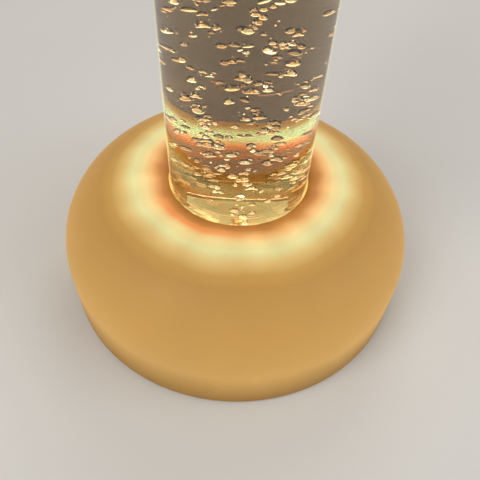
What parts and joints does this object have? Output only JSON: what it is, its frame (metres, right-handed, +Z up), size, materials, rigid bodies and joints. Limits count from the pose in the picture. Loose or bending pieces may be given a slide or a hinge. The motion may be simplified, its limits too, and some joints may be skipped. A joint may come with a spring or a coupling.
{
  "type": "bubble tube lamp",
  "caption": "Free-standing bubble tube lamp: a clear upright water tube on a round, domed, translucent base that holds its lights and a diaphragm air pump.",
  "frame": {"origin": "on the floor, under the middle of the base", "axes": "+Z up along the tube; +Y towards the rear, where the power inlet and the button are; +X to the right seen from the front"},
  "size_m": [0.398, 0.398, 1.2],
  "materials": {
    "opal_plastic": "satin",
    "grey_plastic": "satin",
    "white_plastic": "satin",
    "black_plastic": "satin",
    "black_rubber": "matte",
    "silicone": "satin",
    "steel": "satin",
    "brass": "satin",
    "copper": "satin",
    "white_board": "satin",
    "green_board": "satin",
    "clear_acrylic": "gloss",
    "water": "gloss"
  },
  "bodies": {
    "lamp": {"base_shell": "opal_plastic", "base_plate": "grey_plastic", "foot_1": "black_rubber", "foot_2": "black_rubber", "foot_3": "black_rubber", "foot_4": "black_rubber", "base_screw_1": "steel", "base_screw_2": "steel", "base_screw_3": "steel", "tube_socket": "white_plastic", "socket_screw_1": "steel", "socket_screw_2": "steel", "socket_screw_3": "steel", "ring_light_board": "white_board", "tube": "clear_acrylic", "tube_seal": "black_rubber", "tube_floor": "clear_acrylic", "air_nozzle_1": "brass", "air_nozzle_2": "brass", "air_nozzle_3": "brass", "water": "water", "lamp_stand": "white_plastic", "lamp_board": "white_board", "air_manifold": "white_plastic", "nozzle_hose_1": "silicone", "nozzle_hose_2": "silicone", "nozzle_hose_3": "silicone", "check_valve": "white_plastic", "pump_hose": "silicone", "riser_hose": "silicone", "pump_pad": "black_rubber", "pump_tray": "grey_plastic", "pump_cover": "grey_plastic", "pump_core": "steel", "pump_coil": "copper", "pump_chamber_front": "white_plastic", "pump_chamber_rear": "white_plastic", "pump_pin_front": "steel", "pump_pin_rear": "steel", "pump_duct": "white_plastic", "control_board": "green_board", "power_inlet": "black_plastic", "inlet_nut": "steel", "button_body": "black_plastic", "button_spring": "steel", "button_nut": "steel", "inlet_cable": "black_plastic", "button_cable": "black_plastic", "pump_cable": "black_plastic", "ring_cable": "black_plastic", "lamp_cable": "black_plastic"},
    "cap_assembly": {"cap": "white_plastic", "cap_seal": "black_rubber"},
    "button": {"power_button": "white_plastic"},
    "rear_arm": {"pump_arm_rear": "black_plastic", "pump_magnet_rear": "steel", "pump_bellows_rear": "black_rubber"},
    "front_arm": {"pump_arm_front": "black_plastic", "pump_magnet_front": "steel", "pump_bellows_front": "black_rubber"}
  },
  "joints": [
    {"name": "cap_lift", "type": "slide", "parent": "lamp", "child": "cap_assembly", "axis": [0, 0, 1], "range_m": [0, 0.12]},
    {"name": "button_press", "type": "slide", "parent": "lamp", "child": "button", "axis": [0, -1, 0], "range_m": [0, 0.0025], "stiffness_N_per_m": 300, "springref_m": -0.002, "deforming": ["button_spring"]},
    {"name": "rear_arm_swing", "type": "hinge", "parent": "lamp", "child": "rear_arm", "pos_m": [-0.1665, 0.026, 0.0386], "axis": [0, 0, 1], "range_deg": [-2, 2], "stiffness_Nm_per_rad": 0.5},
    {"name": "front_arm_swing", "type": "hinge", "parent": "lamp", "child": "front_arm", "pos_m": [-0.1665, -0.026, 0.0386], "axis": [0, 0, 1], "range_deg": [-2, 2], "stiffness_Nm_per_rad": 0.5}
  ],
  "couplings": [
    {"joint": "front_arm_swing", "follows": "rear_arm_swing", "ratio": -1}
  ]
}
